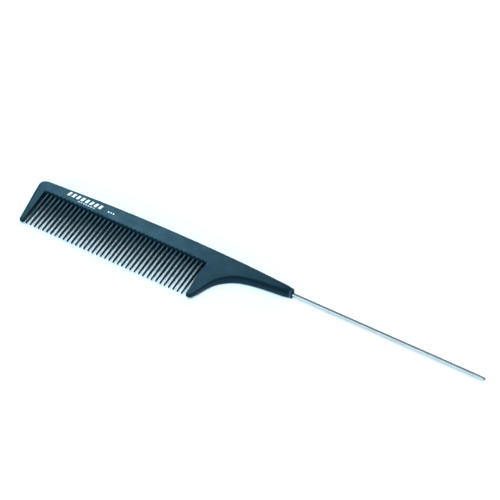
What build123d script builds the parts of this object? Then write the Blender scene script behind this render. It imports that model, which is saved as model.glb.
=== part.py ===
"""Rat tail comb: a fine-toothed pin tail comb for sectioning hair.

Row frame, millimetres: +X runs along the comb from the head towards the point
of the tail pin, +Y from the tooth tips towards the back of the spine, +Z up.
The comb lies flat; its origin is at the bottom centre of the whole object.

The plan of the comb is drawn in a design frame whose X = 0 is the axis of the
first tooth, whose Y = 0 is the root line of the teeth and whose Z = 0 is the
surface the comb lies on, and every solid is moved to the row frame at the end.
"""
import os

from build123d import *

# ---------------------------------------------------------------- dimensions
OVERALL_LENGTH = 230.0      # head to point of the tail pin
THICKNESS = 5.0             # spine and neck
MID_Z = THICKNESS / 2       # parting plane of the moulding

TOOTH_COUNT = 38
TOOTH_PITCH = 2.275
TOOTH_LENGTH = 19.4         # root line to tip
TOOTH_ROOT_HALF_T = 1.95    # half thickness of a tooth at its root
TOOTH_TIP_HALF_T = 0.80     # half thickness just before the tip
TOOTH_LAND_HALF_W = 0.22    # half width of the narrow top land at the root
TOOTH_TIP_LAND_HALF_W = 0.13
TOOTH_FLANK_SLOPE = 0.20    # widening of the flank per mm below the land
TOOTH_TIP_ROUND = 0.60      # length of the blunted tip
TOOTH_LEAN = 0.20           # the tips stand this far towards the tail

HEAD_X = -7.28              # outer face of the head
BACK_CREST_X = 69.9         # the back is one shallow arc
BACK_CREST_Y = 8.81
BACK_RADIUS = 983.0
HEAD_CORNER_R = 3.5

GUARD_TIP_Y = -19.2         # both end guards
GUARD_TIP_HALF_T = 1.05     # half thickness of the guards at their tips
HEAD_GUARD_INNER_X = -2.0   # wall of the slot beside the first tooth
HEEL_GUARD_INNER_X = 86.5   # wall of the slot beside the last tooth

NECK_END_X = 128.2
NECK_SPLIT_X = 97.0         # where the spine hands over to the neck
NECK_END_FRONT_Y = 2.60

EDGE_ROUND = 1.40           # rounding of the spine and neck edges
NECK_END_ROUND = 0.60
ROOT_BEVEL = 0.55           # bevel of the spine's faces along the root line

PIN_RADIUS = 0.80
PIN_Y = 4.90
PIN_SHANK = 27.5            # length of the pin moulded into the neck
PIN_TAPER = 6.0             # the last stretch before the blunt point
PIN_TIP_R = 0.74
PIN_RIB_R = 1.00            # coined ribs that anchor the shank
PIN_GROOVE_R = 0.60
PIN_RIB_PITCH = 3.0
PIN_SEAT_DEPTH = 0.50       # shallow recess round the pin in the neck's end face
PIN_SEAT_R = 1.45


def back_y(x):
    """Y of the back of the comb at X (shallow arc)."""
    return BACK_CREST_Y - (BACK_RADIUS - (BACK_RADIUS ** 2 - (x - BACK_CREST_X) ** 2) ** 0.5)


# ------------------------------------------------- plan outline of the body
# (spine, guards and neck in one closed wire, without the teeth)
head_corner = (HEAD_X - 0.595, back_y(HEAD_X - 0.595))
guard_a_out = (-3.74, GUARD_TIP_Y + 1.1)
guard_a_tip = (-3.02, GUARD_TIP_Y)
guard_a_tip2 = (-2.00, GUARD_TIP_Y)
guard_a_in = (-1.45, GUARD_TIP_Y + 0.6)
slot_l = (HEAD_GUARD_INNER_X, 0.0)
slot_r = (HEEL_GUARD_INNER_X, 0.0)
heel_kink = (86.0, -7.4)
heel_in = (86.95, GUARD_TIP_Y + 0.4)
heel_tip1 = (87.35, GUARD_TIP_Y)
heel_tip2 = (88.40, GUARD_TIP_Y)
heel_out = (89.60, GUARD_TIP_Y + 1.0)
heel_front = (91.98, -12.2)     # the straight front of the heel guard ends here
throat = (105.0, -0.10)         # end of the throat's arc
neck_mid = (112.5, 1.38)

with BuildSketch() as plan:
    with BuildLine():
        p_back_neck = (NECK_END_X, back_y(NECK_END_X))
        ThreePointArc(head_corner, (BACK_CREST_X, BACK_CREST_Y), p_back_neck)
        Line(p_back_neck, (NECK_END_X, NECK_END_FRONT_Y))
        front = Line(heel_out, heel_front)
        arc1 = TangentArc(heel_front, throat, tangent=front % 1)
        arc2 = TangentArc(throat, neck_mid, tangent=arc1 % 1)
        TangentArc(neck_mid, (NECK_END_X, NECK_END_FRONT_Y), tangent=arc2 % 1)
        ThreePointArc(heel_out, (89.17, GUARD_TIP_Y + 0.28), heel_tip2)
        Line(heel_tip2, heel_tip1)
        ThreePointArc(heel_tip1, (87.06, GUARD_TIP_Y + 0.11), heel_in)
        Line(heel_in, heel_kink)
        Line(heel_kink, slot_r)
        Line(slot_r, slot_l)
        Line(slot_l, guard_a_in)
        ThreePointArc(guard_a_in, (-1.60, GUARD_TIP_Y + 0.16), guard_a_tip2)
        Line(guard_a_tip2, guard_a_tip)
        ThreePointArc(guard_a_tip, (-3.53, GUARD_TIP_Y + 0.33), guard_a_out)
        Line(guard_a_out, head_corner)
    make_face()
    corner = [v for v in plan.vertices() if abs(v.X - head_corner[0]) < 1e-3 and v.Y > 3]
    fillet(corner, HEAD_CORNER_R)

body = extrude(plan.sketch, THICKNESS)


def rounded(solid, pick, radii, label):
    """Fillet the picked edges with the largest of the radii that holds."""
    for r in radii:
        try:
            out = fillet(pick(solid), r)
            print("rounded", label, r)
            return out
        except Exception as e:      # the next smaller radius is tried
            print("  ", label, r, type(e).__name__)
    print("left square", label)
    return solid


def outer_edges(solid):
    """Top and bottom edges of the head, the back, the neck and the outer sides of the guards."""
    out = ShapeList()
    for e in solid.edges():
        b = e.bounding_box()
        c = e @ 0.5
        if b.max.Z - b.min.Z > 1e-4:
            continue
        in_slot = -2.5 < c.X < 87.6 and c.Y < 1.0
        tip = c.Y < GUARD_TIP_Y + 1.45
        at_end = b.min.X > NECK_END_X - 1e-3
        if not (in_slot or tip or at_end):
            out.append(e)
    return out


def end_edges(solid):
    return ShapeList([e for e in solid.edges() if e.bounding_box().min.X > NECK_END_X - 1e-3])


body = rounded(body, outer_edges, (EDGE_ROUND, 1.2, 1.0, 0.8), "outer edges")
body = rounded(body, end_edges, (NECK_END_ROUND, 0.4, 0.3), "end of the neck")


def prism_x(points, x0, x1):
    """Straight prism along X from a closed YZ polygon."""
    wire = Polyline([(x0, y, z) for y, z in points], close=True)
    return extrude(make_face(wire), x1 - x0, dir=(1, 0, 0))


# the guards taper like wedges towards their tips, the same on both faces
drop = MID_Z - GUARD_TIP_HALF_T
wedge_top = prism_x(
    [(0.0, THICKNESS), (0.0, THICKNESS + 2), (GUARD_TIP_Y - 1, THICKNESS + 2),
     (GUARD_TIP_Y - 1, THICKNESS - drop * (1 + 1 / abs(GUARD_TIP_Y)))], HEAD_X - 3, 110)
wedge_bot = prism_x(
    [(0.0, 0.0), (0.0, -2.0), (GUARD_TIP_Y - 1, -2.0),
     (GUARD_TIP_Y - 1, drop * (1 + 1 / abs(GUARD_TIP_Y)))], HEAD_X - 3, 110)
body = body - wedge_top - wedge_bot

# bevel along the root line, between the two guards
bevel_x0, bevel_x1 = HEAD_GUARD_INNER_X, HEEL_GUARD_INNER_X
b = ROOT_BEVEL
bevel_top = prism_x([(-0.5, THICKNESS + 0.5), (b, THICKNESS + 0.5), (b, THICKNESS),
                     (0.0, THICKNESS - b), (-0.5, THICKNESS - b)], bevel_x0, bevel_x1)
bevel_bot = prism_x([(-0.5, -0.5), (b, -0.5), (b, 0.0), (0.0, b), (-0.5, b)], bevel_x0, bevel_x1)
body = body - bevel_top - bevel_bot

# ---------------------------------------------------------------- tail pin
PIN_TIP_X = body.bounding_box().min.X + OVERALL_LENGTH
seat_x = NECK_END_X - PIN_SEAT_DEPTH
shank_x0 = seat_x - PIN_SHANK
with BuildPart() as pin_b:
    with BuildSketch(Plane.XZ):
        with BuildLine():
            pts = [(shank_x0, 0.0), (shank_x0, PIN_RIB_R - 0.25), (shank_x0 + 0.25, PIN_RIB_R)]
            gx = shank_x0 + 1.0
            while gx + PIN_RIB_PITCH < seat_x:
                pts += [(gx, PIN_RIB_R), (gx + 0.3, PIN_GROOVE_R),
                        (gx + 1.5, PIN_GROOVE_R), (gx + 1.8, PIN_RIB_R)]
                gx += PIN_RIB_PITCH
            pts += [(seat_x, PIN_RIB_R), (seat_x, PIN_RADIUS),
                    (PIN_TIP_X - PIN_TAPER, PIN_RADIUS), (PIN_TIP_X - PIN_TIP_R, PIN_TIP_R)]
            Polyline(*pts)
            ThreePointArc((PIN_TIP_X - PIN_TIP_R, PIN_TIP_R),
                          (PIN_TIP_X - PIN_TIP_R * (1 - 0.70710678), PIN_TIP_R * 0.70710678),
                          (PIN_TIP_X, 0.0))
            Line((PIN_TIP_X, 0.0), (shank_x0, 0.0))
        make_face()
    revolve(axis=Axis.X)
tail_pin = pin_b.part.moved(Location((0, PIN_Y, MID_Z)))

# the neck is moulded round the shank, so its bore follows every rib; a shallow
# recess in its end face leaves the pin bare right down to the shank
body = body - tail_pin
seat = Solid.make_cylinder(PIN_SEAT_R, PIN_SEAT_DEPTH + 1.0,
                           Plane(origin=(seat_x, PIN_Y, MID_Z), z_dir=(1, 0, 0)))
body = body - seat

# ------------------------------------------------- regions of the moulding
BIG = 400.0


def slab(x0, x1, y0, y1):
    return Box(x1 - x0, y1 - y0, 40, align=(Align.MIN, Align.MIN, Align.CENTER)).moved(
        Location((x0, y0, MID_Z)))


comb_spine = body & slab(-BIG, NECK_SPLIT_X, 0.0, BIG)
neck = body & slab(NECK_SPLIT_X, BIG, 0.0, BIG)
head_guard = body & slab(-BIG, 40.0, -BIG, 0.0)
heel_guard = body & slab(40.0, BIG, -BIG, 0.0)

# ---------------------------------------------------------------- teeth


def tooth_solid():
    stations = [
        (0.0, TOOTH_ROOT_HALF_T, TOOTH_LAND_HALF_W),
        (-(TOOTH_LENGTH - TOOTH_TIP_ROUND), TOOTH_TIP_HALF_T, TOOTH_TIP_LAND_HALF_W),
        (-TOOTH_LENGTH, TOOTH_TIP_HALF_T * 0.45, TOOTH_TIP_LAND_HALF_W * 0.7),
    ]
    rings = []
    for y, t, l in stations:
        m = l + TOOTH_FLANK_SLOPE * t
        x = TOOTH_LEAN * -y / TOOTH_LENGTH
        rings.append([(x + m, y, MID_Z), (x + l, y, MID_Z + t), (x - l, y, MID_Z + t),
                      (x - m, y, MID_Z), (x - l, y, MID_Z - t), (x + l, y, MID_Z - t)])
    faces = []
    for a, c in zip(rings[:-1], rings[1:]):
        for i in range(6):
            j = (i + 1) % 6
            faces.append(Face(Wire.make_polygon([a[i], a[j], c[j], c[i]], close=True)))
    faces.append(Face(Wire.make_polygon(rings[0], close=True)))
    faces.append(Face(Wire.make_polygon(rings[-1], close=True)))
    return Solid(Shell(faces))


tooth = tooth_solid()
fine_teeth = Compound(children=[tooth.moved(Location((i * TOOTH_PITCH, 0, 0)))
                                for i in range(TOOTH_COUNT)])

# ---------------------------------------------------------------- row frame
bb = body.bounding_box()
shift_x = -(bb.min.X + PIN_TIP_X) / 2
shift_y = -(min(bb.min.Y, -TOOTH_LENGTH) + bb.max.Y) / 2
shift = Location((shift_x, shift_y, 0))
print("body box", bb.min, bb.max, "pin tip", PIN_TIP_X, "shift", shift_x, shift_y)

nodes = {
    "comb_spine": comb_spine,
    "neck": neck,
    "head_guard": head_guard,
    "heel_guard": heel_guard,
    "fine_teeth": fine_teeth,
    "tail_pin": tail_pin,
}

os.makedirs("parts", exist_ok=True)
for name, shape in nodes.items():
    out = shape.moved(shift)
    export_step(out, os.path.join("parts", name + ".step"))
    print(name, len(out.solids()), "solids", round(sum(s.volume for s in out.solids()), 2), "mm3")
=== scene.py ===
"""Rat tail comb: the visible model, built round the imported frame.

The moulding (spine, neck, two guards and 38 teeth) is one continuous mesh made from
a plan outline and rings that climb from the parting line to the top land; the
lower half mirrors the upper one. The steel pin is turned. All sizes are millimetres in a
design frame whose X = 0 is the axis of the first tooth, whose Y = 0 is the root line of
the teeth and whose Z = 0 is the surface the comb lies on.
"""
import math
import random

import bpy
import bmesh
from mathutils import Matrix, Vector
from mathutils.geometry import delaunay_2d_cdt


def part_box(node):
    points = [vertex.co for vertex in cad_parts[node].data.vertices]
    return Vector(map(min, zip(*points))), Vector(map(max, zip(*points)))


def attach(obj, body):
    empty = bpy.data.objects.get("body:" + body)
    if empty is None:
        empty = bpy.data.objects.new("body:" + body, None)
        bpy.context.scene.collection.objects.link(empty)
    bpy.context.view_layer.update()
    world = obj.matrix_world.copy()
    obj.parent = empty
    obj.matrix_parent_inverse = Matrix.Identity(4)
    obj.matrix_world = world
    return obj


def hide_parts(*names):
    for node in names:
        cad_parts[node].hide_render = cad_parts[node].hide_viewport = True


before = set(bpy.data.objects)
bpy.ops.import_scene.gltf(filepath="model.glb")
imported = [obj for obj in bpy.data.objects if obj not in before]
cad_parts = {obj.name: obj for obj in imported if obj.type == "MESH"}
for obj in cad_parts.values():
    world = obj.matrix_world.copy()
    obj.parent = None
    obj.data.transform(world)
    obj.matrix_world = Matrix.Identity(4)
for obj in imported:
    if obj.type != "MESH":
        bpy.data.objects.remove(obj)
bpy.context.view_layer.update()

MM = 0.001
random.seed(7)

# ------------------------------------------------------------------ frame
t_lo, t_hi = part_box("fine_teeth")
p_lo, p_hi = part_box("tail_pin")
n_lo, n_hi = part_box("neck")
h_lo, h_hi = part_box("head_guard")
s_lo, s_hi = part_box("comb_spine")
OX = t_lo.x + 0.61 * MM            # row X of the first tooth's axis
OY = t_hi.y                        # row Y of the root line
OZ = s_lo.z


def row(x, y, z):
    return Vector((OX + x * MM, OY + y * MM, OZ + z * MM))


MID = 2.5                          # parting plane
H0 = 2.49                          # half thickness of spine and neck
COUNT = 38
PITCH = (t_hi.x - t_lo.x - 1.22 * MM) / (COUNT - 1) / MM
NECK_END = (n_hi.x - OX) / MM - 0.01
PIN_TIP = (p_hi.x - OX) / MM
PIN_Y = ((p_lo.y + p_hi.y) / 2 - OY) / MM
HEAD_MIN = (s_lo.x - OX) / MM
GUARD_TIP = (h_lo.y - OY) / MM + 0.01
TOOTH_TIP = (t_lo.y - OY) / MM

BACK_CREST_X, BACK_CREST_Y, BACK_R = 69.9, 8.80, 983.0


def back_y(x):
    return BACK_CREST_Y - (BACK_R - math.sqrt(BACK_R ** 2 - (x - BACK_CREST_X) ** 2))


def back_edge(x):
    return back_y(x) + 0.08 + 0.12 * smooth((9.0 - x) / 12.0) + 0.10 * smooth((x - 95.0) / 25.0)


def lerp(a, b, t):
    return a + (b - a) * t


def smooth(t):
    t = min(1.0, max(0.0, t))
    return t * t * (3 - 2 * t)


def table(pairs, v):
    """Piecewise linear look-up."""
    if v <= pairs[0][0]:
        return pairs[0][1]
    for (a, fa), (b, fb) in zip(pairs[:-1], pairs[1:]):
        if v <= b:
            return lerp(fa, fb, (v - a) / (b - a))
    return pairs[-1][1]


# ------------------------------------------------------------ top surface
GUARD_TIP_H = 1.04
TOOTH_ROOT_H, TOOTH_TIP_H = 1.93, 0.78
SHOULDER_Y = 0.45                  # the spine's face ends here, above the roots
SHOULDER_IN = -0.25


def body_h(y):
    """Half thickness of spine, neck and guards: the guards taper to their tips."""
    t = -y
    f = 0.0 if t < -1 else ((t + 1) ** 2 / 4 if t < 1 else t)
    return H0 - (H0 - GUARD_TIP_H) * f / abs(GUARD_TIP)


def tooth_h(y):
    return lerp(TOOTH_ROOT_H, TOOTH_TIP_H, min(1.0, max(0.0, -y / 18.8)))


def slot_h(y):
    """Height of the land over the teeth and of the shoulder that joins it to the face."""
    if y >= SHOULDER_Y:
        return H0
    if y <= SHOULDER_IN:
        return tooth_h(y)
    t = (y - SHOULDER_IN) / (SHOULDER_Y - SHOULDER_IN)
    return lerp(tooth_h(SHOULDER_IN), H0, math.sin(t * math.pi / 2) ** 1.2)


# --------------------------------------------------------------- outline
# Each sample: P0 (x, y) at the parting line, PK (x, y) at the land, HK its height,
# uw the share of the run-in taken by the straight wall, rz the height of the rounding.
S = []


def land_h(y, mix):
    """Half thickness at Y: 0 is the body's face, 1 the teeth and their shoulder."""
    return lerp(body_h(y), slot_h(y), mix)


def add(p0, pk, uw, rz, kind, mix=0.0):
    S.append({"p0": Vector(p0), "pk": Vector(pk), "hk": land_h(pk[1], mix), "uw": uw, "rz": rz,
              "kind": kind, "mix": mix})


def add_body(pts, rfun, kind="body", uw=0.02, closed_ends=True):
    """Samples along a body polyline: the land runs inside it by rfun(point, share)."""
    n = len(pts)
    acc = [0.0]
    for a, b in zip(pts[:-1], pts[1:]):
        acc.append(acc[-1] + (Vector(b) - Vector(a)).length)
    for i, p in enumerate(pts):
        a = Vector(pts[max(0, i - 1)])
        b = Vector(pts[min(n - 1, i + 1)])
        t = (b - a).normalized()
        inward = Vector((-t.y, t.x))
        r = rfun(p, acc[i] / acc[-1])
        pk = Vector(p) + inward * r
        add(p, pk, uw, min(r, 0.92 * body_h(pk.y)), kind)


def arc(c, r, a0, a1, n):
    return [(c[0] + r * math.cos(lerp(a0, a1, i / n)), c[1] + r * math.sin(lerp(a0, a1, i / n)))
            for i in range(n + 1)]


def spaced(a, b, n):
    return [(lerp(a[0], b[0], i / n), lerp(a[1], b[1], i / n)) for i in range(n + 1)]


def catmull(ctrl, per):
    """Centripetal-ish smooth curve through the control points."""
    out = []
    pts = [Vector(p) for p in ctrl]
    ext = [2 * pts[0] - pts[1]] + pts + [2 * pts[-1] - pts[-2]]
    for i in range(1, len(ext) - 2):
        p0, p1, p2, p3 = ext[i - 1], ext[i], ext[i + 1], ext[i + 2]
        for k in range(per):
            t = k / per
            out.append(tuple(0.5 * ((2 * p1) + (p2 - p0) * t + (2 * p0 - 5 * p1 + 4 * p2 - p3) * t * t
                                    + (3 * p1 - p0 - 3 * p2 + p3) * t ** 3)))
    out.append(tuple(pts[-1]))
    return out


# -- the back, from the neck's end towards the head
R_BACK, R_NECK = 1.05, 1.60
END_ROUND_PLAN, END_RIM = 1.20, 0.45
xb = NECK_END - END_ROUND_PLAN
back = []
NB = 64
x_head = HEAD_MIN + 3.7
for i in range(NB + 1):
    x = lerp(xb, x_head, i / NB)
    back.append((x, back_edge(x)))


def r_back(p, s):
    return table([(x_head, R_BACK), (100.0, R_BACK), (120.0, R_NECK), (130.0, R_NECK)], p[0])


add_body(back, r_back)

# -- head corner, tangent to the back and to the head's side
side_top = Vector((HEAD_MIN + 0.06, 2.2))
side_bot = Vector((-3.72, GUARD_TIP + 1.10))
# cubic blend between the two tangents
q0, q3 = Vector((x_head, back_edge(x_head))), side_top
side_dir = Vector((0.155, -1.0)).normalized()
hand = 2.35
q1 = q0 + Vector((-1.0, (back_edge(x_head - 1) - back_edge(x_head)))).normalized() * hand
q2 = q3 - side_dir * hand
corner = []
for i in range(1, 15):
    t = i / 15
    corner.append(tuple(q0 * (1 - t) ** 3 + q1 * 3 * t * (1 - t) ** 2 + q2 * 3 * t * t * (1 - t) + q3 * t ** 3))

add_body([back[-1]] + corner + [tuple(side_top)], lambda p, s: R_BACK)
# the first and last of that run repeat their neighbours
del S[-1]
del S[NB + 1]

# -- outer side of the head guard
side = catmull([tuple(side_top), (-6.36, -3.0), (-5.47, -8.0), (-4.54, -13.2), tuple(side_bot)], 6)


def r_headside(p, s):
    return table([(-19.2, 0.40), (-18.0, 0.42), (-14.0, 0.55), (-6.0, 1.0), (0.0, 1.3), (3.0, R_BACK)], p[1])


add_body(side, r_headside)
# -- its tip
tip_a = catmull([tuple(side_bot), (-3.64, GUARD_TIP + 0.48), (-3.47, GUARD_TIP + 0.12), (-3.12, GUARD_TIP),
                 (-2.05, GUARD_TIP), (-1.62, GUARD_TIP + 0.13), (-1.42, GUARD_TIP + 0.42), (-1.36, GUARD_TIP + 0.95)], 4)
add_body(tip_a[1:], lambda p, s: 0.40)
# -- its inner side, a wall of the slot
inner_a = spaced((-1.36, GUARD_TIP + 0.95), (-1.78, -1.15), 14)


for i, p in enumerate(inner_a[1:-1]):
    t = (Vector(inner_a[-1]) - Vector(inner_a[0])).normalized()
    pk = Vector(p) + Vector((-t.y, t.x)) * 0.32
    add(p, pk, 0.45, 0.30, "wall")

# -- slots and teeth
M_ROOT, M_TIP = 0.60, 0.31         # half width at the parting line
L_ROOT, L_TIP = 0.21, 0.10       # half width of the flat land
ROOT_Y = -0.95                     # where the flanks start
ROOT_APEX = -0.40                  # deepest point of a slot at the parting line
LAND_Y = -0.40

# small set of the teeth, as on a moulding that has been used
set_x = [random.uniform(-0.05, 0.05) for _ in range(COUNT)]
LEAN = 0.20                        # the teeth lean this far towards the tail at their tips


def tooth_x(i, y):
    f = max(0.0, -y) / 19.4
    return i * PITCH + LEAN * f + set_x[i] * f ** 1.6


def half_m(y):
    return lerp(M_ROOT, M_TIP, min(1.0, max(0.0, (-y - 0.9) / 17.9)))


def half_l(y):
    return lerp(L_ROOT, L_TIP, min(1.0, max(0.0, (-y - 0.9) / 17.9)))


ARC_N = 10


def slot_arc(x0, x1, l0, l1, wide0=None, wide1=None, h0="tooth", h1="tooth", apex=ROOT_APEX, top=SHOULDER_Y):
    """The closed end of a slot, from the flank at x0 to the flank at x1 (parting line),
    with the land running from l0 to l1 over the shoulder."""
    xc, a = (x0 + x1) / 2, (x1 - x0) / 2
    lc, la = (l0 + l1) / 2, (l1 - l0) / 2
    for k in range(ARC_N + 1):
        f = math.pi * k / ARC_N
        c, s = math.cos(f), math.sin(f)
        sq = abs(s) ** 0.8
        p0 = (xc - a * c, ROOT_Y + (apex - ROOT_Y) * sq)
        pk = (lc - la * math.copysign(abs(c) ** 0.9, c), LAND_Y + (top - LAND_Y) * sq)
        side_kind = h0 if k < ARC_N / 2 else h1
        if side_kind == "tooth":
            uw0, rz0, mix = 0.82, 0.13, 1.0
        else:
            uw0, rz0, mix = 0.45, 0.30, smooth(s)
        uw = lerp(uw0, 0.08, sq)
        rz = lerp(rz0, 0.55, sq)
        add(p0, pk, uw, rz, "root", mix)


def tooth(i):
    ys = [-1.5, -2.3, -3.4, -5.0, -7.0, -9.2, -11.4, -13.6, -15.6, -17.2, -18.3]
    for sgn in (-1, 1):
        for y in (ys if sgn < 0 else reversed(ys)):
            lift = 0.5 * max(0.0, 1 + (y + 0.95) / 3.0)
            yk = y + lift
            add((tooth_x(i, y) + sgn * half_m(y), y), (tooth_x(i, yk) + sgn * half_l(yk), yk),
                0.82, 0.13, "tooth", 1.0)
        if sgn < 0:
            tx = tooth_x(i, -19.2)
            yc = TOOTH_TIP + 0.36
            for k in range(0, 9):
                f = math.pi * k / 8
                c, s = math.cos(f), math.sin(f)
                add((tx - M_TIP * c, yc - 0.35 * s), (tx - L_TIP * c, TOOTH_TIP + 0.72 - 0.10 * s),
                    lerp(0.82, 0.10, s), lerp(0.13, 0.60, s), "tooth", 1.0)


left_wall_x = -1.80
left_land_x = -2.12
slot_arc(left_wall_x, tooth_x(0, 0) - M_ROOT, left_land_x, tooth_x(0, 0) - L_ROOT, h0="wall", h1="tooth")
for i in range(COUNT):
    tooth(i)
    if i < COUNT - 1:
        slot_arc(tooth_x(i, 0) + M_ROOT, tooth_x(i + 1, 0) - M_ROOT,
                 tooth_x(i, 0) + L_ROOT, tooth_x(i + 1, 0) - L_ROOT)
right_wall_x = 86.20
right_land_x = 86.50
slot_arc(tooth_x(COUNT - 1, 0) + M_ROOT, right_wall_x, tooth_x(COUNT - 1, 0) + L_ROOT, right_land_x,
         h0="tooth", h1="wall")

# -- heel guard: inner side, tip, front, throat and neck
inner_b = catmull([(right_wall_x, ROOT_Y), (86.10, -3.0), (85.78, -6.7), (85.90, -10.0), (86.16, -14.6),
                   (86.34, GUARD_TIP + 0.80)], 5)
for i, p in enumerate(inner_b[1:], 1):
    a = Vector(inner_b[max(0, i - 1)])
    b = Vector(inner_b[min(len(inner_b) - 1, i + 1)])
    t = (b - a).normalized()
    pk = Vector(p) + Vector((-t.y, t.x)) * 0.30
    add(p, pk, 0.45, 0.30, "wall")
tip_b = catmull([(86.34, GUARD_TIP + 0.80), (86.42, GUARD_TIP + 0.34), (86.66, GUARD_TIP + 0.07), (87.10, GUARD_TIP),
                 (87.95, GUARD_TIP + 0.02), (88.50, GUARD_TIP + 0.16), (89.00, GUARD_TIP + 0.56), (89.44, GUARD_TIP + 1.10)], 4)
add_body(tip_b[1:], lambda p, s: 0.40)
front = catmull([(89.44, GUARD_TIP + 1.10), (90.70, -15.27), (91.98, -11.93), (94.22, -7.58), (97.06, -4.40),
                 (100.38, -1.97), (104.93, -0.03), (110.5, 1.10), (118.2, 2.07), (123.6, 2.60), (125.6, 2.80),
                 (NECK_END - END_ROUND_PLAN, 2.92)], 6)


def r_front(p, s):
    return table([(89.4, 0.40), (90.5, 0.42), (92.3, 0.55), (95.0, 0.85), (100.0, 1.15), (106.0, 1.35), (112.0, 1.6),
                  (130.0, R_NECK)], p[0])


add_body(front[1:], r_front)
# -- the neck's end: two corners and a flat, with a small rim round it
yf, yb = 2.92, back_edge(xb)
c0, k0 = (NECK_END - END_ROUND_PLAN, yf + END_ROUND_PLAN), (NECK_END - END_RIM - 0.15, yf + R_NECK + 0.1)
del S[-1]
for k in range(0, 9):
    f = math.pi / 2 * k / 8
    p0 = (c0[0] + END_ROUND_PLAN * math.sin(f), c0[1] - END_ROUND_PLAN * math.cos(f))
    pk = (k0[0] + 0.15 * math.sin(f), k0[1] - 0.10 * math.cos(f))
    add(p0, pk, 0.02, lerp(R_NECK, END_RIM, smooth(f / (math.pi / 2))), "end")
c1, k1 = (NECK_END - END_ROUND_PLAN, yb - END_ROUND_PLAN), (NECK_END - END_RIM - 0.15, yb - R_NECK - 0.1)
for k in range(1, 6):
    t = k / 6
    add((NECK_END, lerp(c0[1], c1[1], t)), (NECK_END - END_RIM, lerp(k0[1], k1[1], t)), 0.02, END_RIM, "end")
for k in range(0, 8):
    f = math.pi / 2 * (1 - k / 8)
    p0 = (c1[0] + END_ROUND_PLAN * math.sin(f), c1[1] + END_ROUND_PLAN * math.cos(f))
    pk = (k1[0] + 0.15 * math.sin(f), k1[1] + 0.10 * math.cos(f))
    add(p0, pk, 0.02, lerp(R_NECK, END_RIM, smooth(f / (math.pi / 2))), "end")

# ---------------------------------------------------------- moulding mesh
N = len(S)
WALL, ARC = 3, 6
FLASH_H, FLASH_OUT = 0.05, 0.015


def ring_point(s, k):
    """Point k of a sample's profile: 0 parting line, then wall, rounding, land, inner land."""
    p0, pk, hk, uw, rz = s["p0"], s["pk"], s["hk"], s["uw"], s["rz"]
    d = pk - p0
    vr = hk - rz
    if k == 0:
        out = -d.normalized() * FLASH_OUT
        return p0.x + out.x, p0.y + out.y, 0.0
    if k == 1:
        f = FLASH_H / hk
        return p0.x + d.x * uw * f, p0.y + d.y * uw * f, FLASH_H
    k -= 1
    if k <= WALL:
        f = k / WALL
        z = lerp(FLASH_H, vr, f)
        u = uw * z / max(vr, 1e-6)
        return p0.x + d.x * u, p0.y + d.y * u, z
    k -= WALL
    if k <= ARC:
        th = math.pi / 2 * k / ARC
        u = uw + (1 - uw) * (1 - math.cos(th))
        return p0.x + d.x * u, p0.y + d.y * u, vr + rz * math.sin(th)
    e = {"tooth": 0.035, "root": 0.04}.get(s["kind"], 0.10)
    q = pk + d.normalized() * e
    return q.x, q.y, land_h(q.y, s["mix"])


RINGS = 1 + 1 + WALL + ARC + 1
bm = bmesh.new()
top, bot = [], []
for k in range(RINGS):
    ring_t, ring_b = [], []
    for s in S:
        x, y, z = ring_point(s, k)
        vt = bm.verts.new(row(x, y, MID + z))
        ring_t.append(vt)
        ring_b.append(vt if k == 0 else bm.verts.new(row(x, y, MID - z)))
    top.append(ring_t)
    bot.append(ring_b)
for k in range(RINGS - 1):
    for i in range(N):
        j = (i + 1) % N
        bm.faces.new((top[k][i], top[k][j], top[k + 1][j], top[k + 1][i]))
        bm.faces.new((bot[k][j], bot[k][i], bot[k + 1][i], bot[k + 1][j]))
# fill both lands
poly = [Vector(ring_point(s, RINGS - 1)[:2]) for s in S]


def inside(x, y):
    hit = False
    for a, b in zip(poly, poly[1:] + poly[:1]):
        if (a.y > y) != (b.y > y) and x < (b.x - a.x) * (y - a.y) / (b.y - a.y) + a.x:
            hit = not hit
    return hit


def clearance(x, y):
    best = 1e9
    for a, b in zip(poly, poly[1:] + poly[:1]):
        if min(a.x, b.x) - 1.5 > x or max(a.x, b.x) + 1.5 < x or min(a.y, b.y) - 1.5 > y or max(a.y, b.y) + 1.5 < y:
            continue
        d = b - a
        t = max(0.0, min(1.0, ((x - a.x) * d.x + (y - a.y) * d.y) / max(d.length_squared, 1e-12)))
        best = min(best, math.hypot(x - a.x - d.x * t, y - a.y - d.y * t))
    return best


inner = []
rows_y = [-19.0 + 1.0 * k for k in range(18)] + [-1.5, -1.0, -0.5, 0.0, 0.5, 1.0, 1.6] + [2.3 + 0.9 * k for k in range(8)]
for ky, y in enumerate(rows_y):
    step = 1.1 if y < 1.2 else 1.6
    x = -6.6 + (0.5 * step if ky % 2 else 0.0)
    while x < 128.0:
        body = y > 0.9 or x < -1.9 or x > 85.6
        if body and inside(x, y) and clearance(x, y) > 0.40:
            inner.append(Vector((x, y)))
        x += step
verts2, edges2, faces2, ov, oe, of_ = delaunay_2d_cdt(poly + inner, [], [list(range(N))], 1, 1e-6)
source = [min(o) if o and min(o) < N else -1 for o in ov]
vt_map, vb_map = {}, {}
for i, o in enumerate(source):
    if o >= 0:
        vt_map[i], vb_map[i] = top[-1][o], bot[-1][o]
    else:
        x, y = verts2[i]
        z = body_h(y)
        vt_map[i] = bm.verts.new(row(x, y, MID + z))
        vb_map[i] = bm.verts.new(row(x, y, MID - z))
made = 0
for f in faces2:
    try:
        a = bm.faces.new([vt_map[i] for i in f])
        b = bm.faces.new([vb_map[i] for i in reversed(f)])
        made += 1
    except ValueError:
        pass
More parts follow.
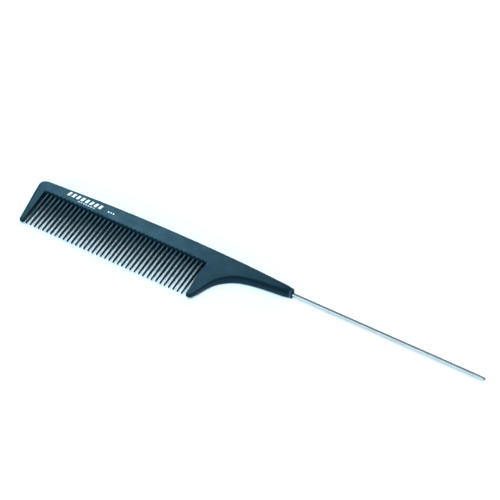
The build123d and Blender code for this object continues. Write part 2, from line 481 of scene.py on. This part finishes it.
# the neck draws in to a small nose round the pin, mostly on its front side
for vtx in bm.verts:
    x, y, z = (vtx.co.x - OX) / MM, (vtx.co.y - OY) / MM, (vtx.co.z - OZ) / MM
    if x > NECK_END - 4.5:
        k = smooth((x - NECK_END + 4.5) / 4.2)
        ky = 1 - (0.20 if y < PIN_Y else 0.10) * k
        vtx.co = row(x, PIN_Y + (y - PIN_Y) * ky, MID + (z - MID) * (1 - 0.11 * k))
bm.normal_update()
open_edges = [e for e in bm.edges if len(e.link_faces) != 2]
mesh = bpy.data.meshes.new("comb_moulding")
bm.to_mesh(mesh)
bm.free()
moulding = bpy.data.objects.new("comb_moulding", mesh)
bpy.context.scene.collection.objects.link(moulding)

# recess round the pin in the neck's end face
SEAT_R, SEAT_D = 1.04, 1.10


def lathe(name, profile, y, z, sides=48, cap0=True, cap1=True):
    """Turned piece along X from (x, r) pairs."""
    b = bmesh.new()
    rings = []
    for x, r in profile:
        rings.append([b.verts.new(row(x, y + r * math.cos(2 * math.pi * k / sides),
                                      z + r * math.sin(2 * math.pi * k / sides))) for k in range(sides)])
    for r0, r1 in zip(rings[:-1], rings[1:]):
        for k in range(sides):
            j = (k + 1) % sides
            b.faces.new((r0[k], r1[k], r1[j], r0[j]))
    if cap0:
        b.faces.new(rings[0])
    if cap1:
        b.faces.new(list(reversed(rings[-1])))
    bmesh.ops.recalc_face_normals(b, faces=b.faces)
    m = bpy.data.meshes.new(name)
    b.to_mesh(m)
    b.free()
    o = bpy.data.objects.new(name, m)
    bpy.context.scene.collection.objects.link(o)
    return o


x_seat = NECK_END - SEAT_D
cutter = lathe("cutter", [(x_seat, SEAT_R - 0.10), (x_seat + 0.10, SEAT_R), (NECK_END - 0.12, SEAT_R),
                          (NECK_END + 0.02, SEAT_R + 0.10), (NECK_END + 1.0, SEAT_R + 0.12)], PIN_Y, MID)
mod = moulding.modifiers.new("recess", "BOOLEAN")
mod.operation = "DIFFERENCE"
mod.solver = "EXACT"
mod.object = cutter
bpy.context.view_layer.update()
dg = bpy.context.evaluated_depsgraph_get()
cut_mesh = bpy.data.meshes.new_from_object(moulding.evaluated_get(dg))
moulding.modifiers.clear()
old = moulding.data
moulding.data = cut_mesh
bpy.data.meshes.remove(old)
bpy.data.objects.remove(cutter)
moulding.data.name = "comb_moulding"
# the floor of the recess
b = bmesh.new()
b.from_mesh(cut_mesh)
rim = [e for e in b.edges if len(e.link_faces) == 1]
if rim:
    filled = bmesh.ops.holes_fill(b, edges=rim, sides=0)["faces"]
    b.normal_update()
    for f in filled:
        if f.normal.x < 0:
            f.normal_flip()
b.to_mesh(cut_mesh)
b.free()


def shade(o, sharp_deg=38):
    m = o.data
    for p in m.polygons:
        p.use_smooth = True
    b = bmesh.new()
    b.from_mesh(m)
    for e in b.edges:
        if len(e.link_faces) == 2:
            e.smooth = e.calc_face_angle(0.0) < math.radians(sharp_deg)
    b.to_mesh(m)
    b.free()


shade(moulding)


def wear_and_highlight(x, y, z):
    """How much paler the plastic is made: most on the teeth's ridge lands, partly rubbed wear and partly a painted
    highlight; a little towards the teeth's tips; and on the rounded rim round the neck's end, a painted highlight.
    """
    h = abs(z - MID)
    if -1.3 < x < 85.8 and y < -0.4:
        # ridge lands: partly rubbed wear, partly a painted highlight; a little paler towards the tips
        ridge = smooth((h - (tooth_h(y) - 0.20)) / 0.18)
        return max(ridge * 0.75, 0.06 * smooth((-y - 8.0) / 8.0)) * smooth((-0.4 - y) / 0.7)
    # rounded rim round the neck's end: a painted highlight, paler where light would catch the rounding
    if x > NECK_END - 1.3:
        r = math.hypot(y - PIN_Y, z - MID)
        return 0.80 * smooth((x - NECK_END + 1.30) / 0.30) * smooth((NECK_END - 0.35 - x) / 0.30) * smooth((r - 1.40) / 0.10)
    return 0.0


# per-vertex share of the paler colour: rubbed wear on the ridges plus painted highlights
wear_and_highlight_attr = moulding.data.attributes.new("wear_and_highlight", "FLOAT", "POINT")
for i, vtx in enumerate(moulding.data.vertices):
    c = vtx.co
    wear_and_highlight_attr.data[i].value = wear_and_highlight((c.x - OX) / MM, (c.y - OY) / MM, (c.z - OZ) / MM)

# ------------------------------------------------------------- steel pin
R = 0.80
prof = [(x_seat - 3.0, R), (x_seat - 0.5, R)]
n_seg = 60
x_tap = PIN_TIP - 6.0
for i in range(n_seg + 1):
    prof.append((lerp(x_seat, x_tap, i / n_seg), R))
for i in range(1, 7):
    t = i / 6
    prof.append((lerp(x_tap, PIN_TIP - 0.70, t), lerp(R, 0.735, t)))
for i in range(1, 12):
    a = math.pi / 2 * i / 12
    prof.append((PIN_TIP - 0.70 + 0.695 * math.sin(a), 0.735 * math.cos(a)))
prof.append((PIN_TIP - 0.003, 0.05))
pin = lathe("tail_pin_steel", prof, PIN_Y, MID, sides=40)
shade(pin, 50)

# ------------------------------------------------------------ printed mark


def plate(b, pts, z0, z1):
    lo = [b.verts.new(row(x, y, z0)) for x, y in pts]
    hi = [b.verts.new(row(x, y, z1)) for x, y in pts]
    b.faces.new(hi)
    b.faces.new(list(reversed(lo)))
    n = len(pts)
    for i in range(n):
        j = (i + 1) % n
        b.faces.new((lo[i], lo[j], hi[j], hi[i]))


b = bmesh.new()
Z0, Z1 = MID + H0 - 0.012, MID + H0 + 0.008
# a row of eight slanted bars, a row of short dashes below it and three dots: no letters, no figures
for k in range(8):
    x, w, lean = 8.35 + 2.45 * k, 1.30, 0.55
    plate(b, [(x, 3.12), (x + w, 3.12), (x + w + lean, 5.42), (x + lean, 5.42)], Z0, Z1)
for k in range(7):
    x = 15.2 + 1.36 * k
    plate(b, [(x, 1.98), (x + 0.86, 1.98), (x + 0.86, 2.38), (x, 2.38)], Z0, Z1)
for k in range(3):
    cx, cy = 31.2 + 1.30 * k, 3.70
    pts = [(cx + 0.40 * math.cos(2 * math.pi * j / 20), cy + 0.40 * math.sin(2 * math.pi * j / 20)) for j in range(20)]
    plate(b, pts, Z0, Z1)
bmesh.ops.recalc_face_normals(b, faces=b.faces)
m = bpy.data.meshes.new("printed_mark")
b.to_mesh(m)
b.free()
mark = bpy.data.objects.new("printed_mark", m)
bpy.context.scene.collection.objects.link(mark)


# -------------------------------------------------------------- materials
def material(name):
    mat = bpy.data.materials.new(name)
    mat.use_nodes = True
    nt = mat.node_tree
    nt.nodes.clear()
    out = nt.nodes.new("ShaderNodeOutputMaterial")
    bsdf = nt.nodes.new("ShaderNodeBsdfPrincipled")
    nt.links.new(bsdf.outputs["BSDF"], out.inputs["Surface"])
    return mat, nt, bsdf


def coords(nt, scale=(1, 1, 1)):
    tc = nt.nodes.new("ShaderNodeTexCoord")
    mp = nt.nodes.new("ShaderNodeMapping")
    mp.inputs["Scale"].default_value = scale
    nt.links.new(tc.outputs["Object"], mp.inputs["Vector"])
    return mp.outputs["Vector"]


def noise_tex(nt, vec, scale, detail=3.0, rough=0.5):
    n = nt.nodes.new("ShaderNodeTexNoise")
    n.inputs["Scale"].default_value = scale
    n.inputs["Detail"].default_value = detail
    n.inputs["Roughness"].default_value = rough
    nt.links.new(vec, n.inputs["Vector"])
    return n.outputs["Fac"]


def ramp(nt, fac, stops):
    r = nt.nodes.new("ShaderNodeValToRGB")
    els = r.color_ramp.elements
    els[0].position, els[0].color = stops[0][0], stops[0][1]
    els[1].position, els[1].color = stops[1][0], stops[1][1]
    for p, c in stops[2:]:
        e = els.new(p)
        e.color = c
    nt.links.new(fac, r.inputs["Fac"])
    return r.outputs["Color"]


def maprange(nt, fac, lo, hi, a=0.0, b=1.0):
    m = nt.nodes.new("ShaderNodeMapRange")
    m.inputs["From Min"].default_value = a
    m.inputs["From Max"].default_value = b
    m.inputs["To Min"].default_value = lo
    m.inputs["To Max"].default_value = hi
    nt.links.new(fac, m.inputs["Value"])
    return m.outputs["Result"]


def math_node(nt, op, a, b_):
    n = nt.nodes.new("ShaderNodeMath")
    n.operation = op
    for i, v in enumerate((a, b_)):
        if isinstance(v, (int, float)):
            n.inputs[i].default_value = v
        else:
            nt.links.new(v, n.inputs[i])
    return n.outputs["Value"]


def bump(nt, height, strength, distance, normal=None):
    n = nt.nodes.new("ShaderNodeBump")
    n.inputs["Strength"].default_value = strength
    n.inputs["Distance"].default_value = distance
    nt.links.new(height, n.inputs["Height"])
    if normal is not None:
        nt.links.new(normal, n.inputs["Normal"])
    return n.outputs["Normal"]


# carbon-filled plastic: dark blue-black, fine satin grain, faint flow mottling, paler ridge lands that are partly
# rubbed wear and partly a painted highlight, and a painted highlight on the neck's end rim
plastic, nt, bsdf = material("carbon_filled_plastic")
v = coords(nt)
grain = noise_tex(nt, v, 5200.0, 2.0, 0.55)
mottle = noise_tex(nt, v, 190.0, 4.0, 0.6)
flow = noise_tex(nt, coords(nt, (0.25, 1.0, 1.0)), 420.0, 3.0, 0.55)
hair = noise_tex(nt, coords(nt, (0.05, 1.0, 1.0)), 6500.0, 2.0, 0.5)
mix = math_node(nt, "ADD", math_node(nt, "MULTIPLY", mottle, 0.6), math_node(nt, "MULTIPLY", flow, 0.4))
col = ramp(nt, mix, [(0.30, (0.0018, 0.0078, 0.0140, 1)), (0.70, (0.0028, 0.0105, 0.0180, 1))])
at = nt.nodes.new("ShaderNodeAttribute")
at.attribute_name = "wear_and_highlight"
scuff_and_highlight = math_node(nt, "MULTIPLY", at.outputs["Fac"], maprange(nt, noise_tex(nt, v, 1500.0, 3.0, 0.6), 0.75, 1.15, 0.3, 0.7))
mx = nt.nodes.new("ShaderNodeMix")
mx.data_type = "RGBA"
nt.links.new(scuff_and_highlight, mx.inputs["Factor"])
nt.links.new(col, mx.inputs["A"])
# pale colour for the rubbed ridge lands and for the painted highlights
mx.inputs["B"].default_value = (0.046, 0.080, 0.097, 1)
nt.links.new(mx.outputs["Result"], bsdf.inputs["Base Color"])
rgh = math_node(nt, "ADD", maprange(nt, mottle, 0.40, 0.50, 0.3, 0.7), maprange(nt, hair, -0.03, 0.03, 0.3, 0.7))
nt.links.new(rgh, bsdf.inputs["Roughness"])
nrm = bump(nt, grain, 0.35, 0.00004)
nrm = bump(nt, hair, 0.10, 0.00002, nrm)
nt.links.new(nrm, bsdf.inputs["Normal"])
bsdf.inputs["IOR"].default_value = 1.5
bsdf.inputs["Specular IOR Level"].default_value = 0.13
bsdf.inputs["Specular Tint"].default_value = (0.20, 0.70, 1.0, 1.0)

# drawn steel: bright, fine lines round the pin, a few handling marks along it
steel, nt, bsdf = material("drawn_steel")
lines = noise_tex(nt, coords(nt, (1.0, 0.03, 0.03)), 9000.0, 2.0, 0.5)
drag = noise_tex(nt, coords(nt, (0.02, 1.0, 1.0)), 7000.0, 2.0, 0.5)
soft = noise_tex(nt, coords(nt), 260.0, 3.0, 0.5)
col = ramp(nt, soft, [(0.3, (0.43, 0.45, 0.46, 1)), (0.7, (0.52, 0.54, 0.55, 1))])
nt.links.new(col, bsdf.inputs["Base Color"])
bsdf.inputs["Metallic"].default_value = 1.0
nt.links.new(math_node(nt, "ADD", maprange(nt, drag, 0.09, 0.15, 0.3, 0.7), maprange(nt, lines, -0.02, 0.03, 0.3, 0.7)),
             bsdf.inputs["Roughness"])
nt.links.new(bump(nt, lines, 0.15, 0.00002), bsdf.inputs["Normal"])

# printing ink: matte white, slightly uneven where it has worn
ink, nt, bsdf = material("white_ink")
v = coords(nt)
wear = noise_tex(nt, v, 2600.0, 4.0, 0.65)
col = ramp(nt, wear, [(0.28, (0.55, 0.62, 0.66, 1)), (0.46, (0.86, 0.89, 0.92, 1))])
nt.links.new(col, bsdf.inputs["Base Color"])
nt.links.new(maprange(nt, wear, 0.70, 0.52, 0.3, 0.7), bsdf.inputs["Roughness"])
nt.links.new(bump(nt, wear, 0.2, 0.00002), bsdf.inputs["Normal"])

for o, mt in ((moulding, plastic), (pin, steel), (mark, ink)):
    o.data.materials.clear()
    o.data.materials.append(mt)

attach(moulding, "root")
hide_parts("comb_spine", "neck", "head_guard", "heel_guard", "fine_teeth")
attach(pin, "root")
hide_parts("tail_pin")
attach(mark, "root")

# ------------------------------------------------------------------ floor
me = bpy.data.meshes.new("floor")
fb = bmesh.new()
bmesh.ops.create_grid(fb, x_segments=8, y_segments=8, size=3.0)
fb.to_mesh(me)
fb.free()
floor = bpy.data.objects.new("floor", me)
bpy.context.scene.collection.objects.link(floor)
fm, nt, bsdf = material("pale_floor")
bsdf.inputs["Base Color"].default_value = (0.965, 0.955, 0.950, 1)
bsdf.inputs["Roughness"].default_value = 0.9
bsdf.inputs["Specular IOR Level"].default_value = 0.0
floor.data.materials.append(fm)

# ----------------------------------------------------------------- lights
world = bpy.data.worlds.new("world")
bpy.context.scene.world = world
world.use_nodes = True
bg = world.node_tree.nodes["Background"]
bg.inputs["Color"].default_value = (0.85, 0.95, 1.0, 1.0)
bg.inputs["Strength"].default_value = 0.02


def sun(name, az, el, angle, color):
    """Soft light from azimuth az (from +X towards +Y) and elevation el; color is the
    radiance that a white matt surface facing it would take on."""
    top = max(color)
    l = bpy.data.lights.new(name, "SUN")
    l.energy = math.pi * top
    l.angle = math.radians(angle)
    l.color = [c / top for c in color]
    o = bpy.data.objects.new(name, l)
    a, e = math.radians(az), math.radians(el)
    d = Vector((math.cos(a) * math.cos(e), math.sin(a) * math.cos(e), math.sin(e)))
    o.rotation_euler = d.to_track_quat("Z", "Y").to_euler()
    bpy.context.scene.collection.objects.link(o)
    return o


front = sun("front_soft", 311, 45, 56, (0.17, 0.30, 0.36))
front.visible_glossy = False       # it fills; the plastic doesn't mirror it
sun("front_high", 300, 72, 32, (0.40, 0.62, 0.70)).visible_glossy = False
sun("left_low", 250, 12, 30, (0.15, 0.17, 0.18))
sun("left_soft", 265, 42, 50, (0.05, 0.13, 0.16))
sun("back_soft", 100, 50, 80, (0.17, 0.20, 0.23)).visible_glossy = False
sun("overhead", 0, 84, 60, (0.18, 0.165, 0.16))
sun("zenith_warm", 0, 84, 60, (0.06, 0.0, 0.0)).visible_glossy = False
sun("back_low", 100, 12, 14, (0.42, 0.14, 0.10)).visible_glossy = False
sun("tips_low", 312, 10, 14, (0.46, 0.58, 0.60)).visible_glossy = False

# softbox behind the head, where the faces mirror it: it gives them their sheen
sheen = bpy.data.lights.new("sheen", "AREA")
sheen.shape = "SQUARE"
sheen.size = 0.16
sheen.energy = 2.55
sheen.color = (0.76, 0.96, 1.0)
sheen_o = bpy.data.objects.new("sheen", sheen)
aim = row(1.0, 1.0, 5.0)
a, e = math.radians(120.0), math.radians(50.0)
d = Vector((math.cos(a) * math.cos(e), math.sin(a) * math.cos(e), math.sin(e)))
sheen_o.location = aim + d * 0.34
sheen_o.rotation_euler = d.to_track_quat("Z", "Y").to_euler()
sheen_o.visible_diffuse = False
bpy.context.scene.collection.objects.link(sheen_o)

# ----------------------------------------------------------------- camera
EL, AZ, DIST = math.radians(49.91), math.radians(29.71), 781.2
look = row(97.542, 19.787, 0.0)
back_dir = Vector((math.sin(AZ) * math.cos(EL), -math.cos(AZ) * math.cos(EL), math.sin(EL)))
cam = bpy.data.cameras.new("camera")
cam.sensor_width = 36.0
cam.lens = 1700.0 * 36.0 / 500.0
cam.clip_start = 0.01
cam.clip_end = 20.0
cam_o = bpy.data.objects.new("camera", cam)
cam_o.location = look + back_dir * DIST * MM
cam_o.rotation_euler = back_dir.to_track_quat("Z", "Y").to_euler()
bpy.context.scene.collection.objects.link(cam_o)
bpy.context.scene.camera = cam_o

bpy.context.scene.view_settings.view_transform = "Standard"
bpy.context.scene.view_settings.look = "None"

bpy.context.view_layer.update()
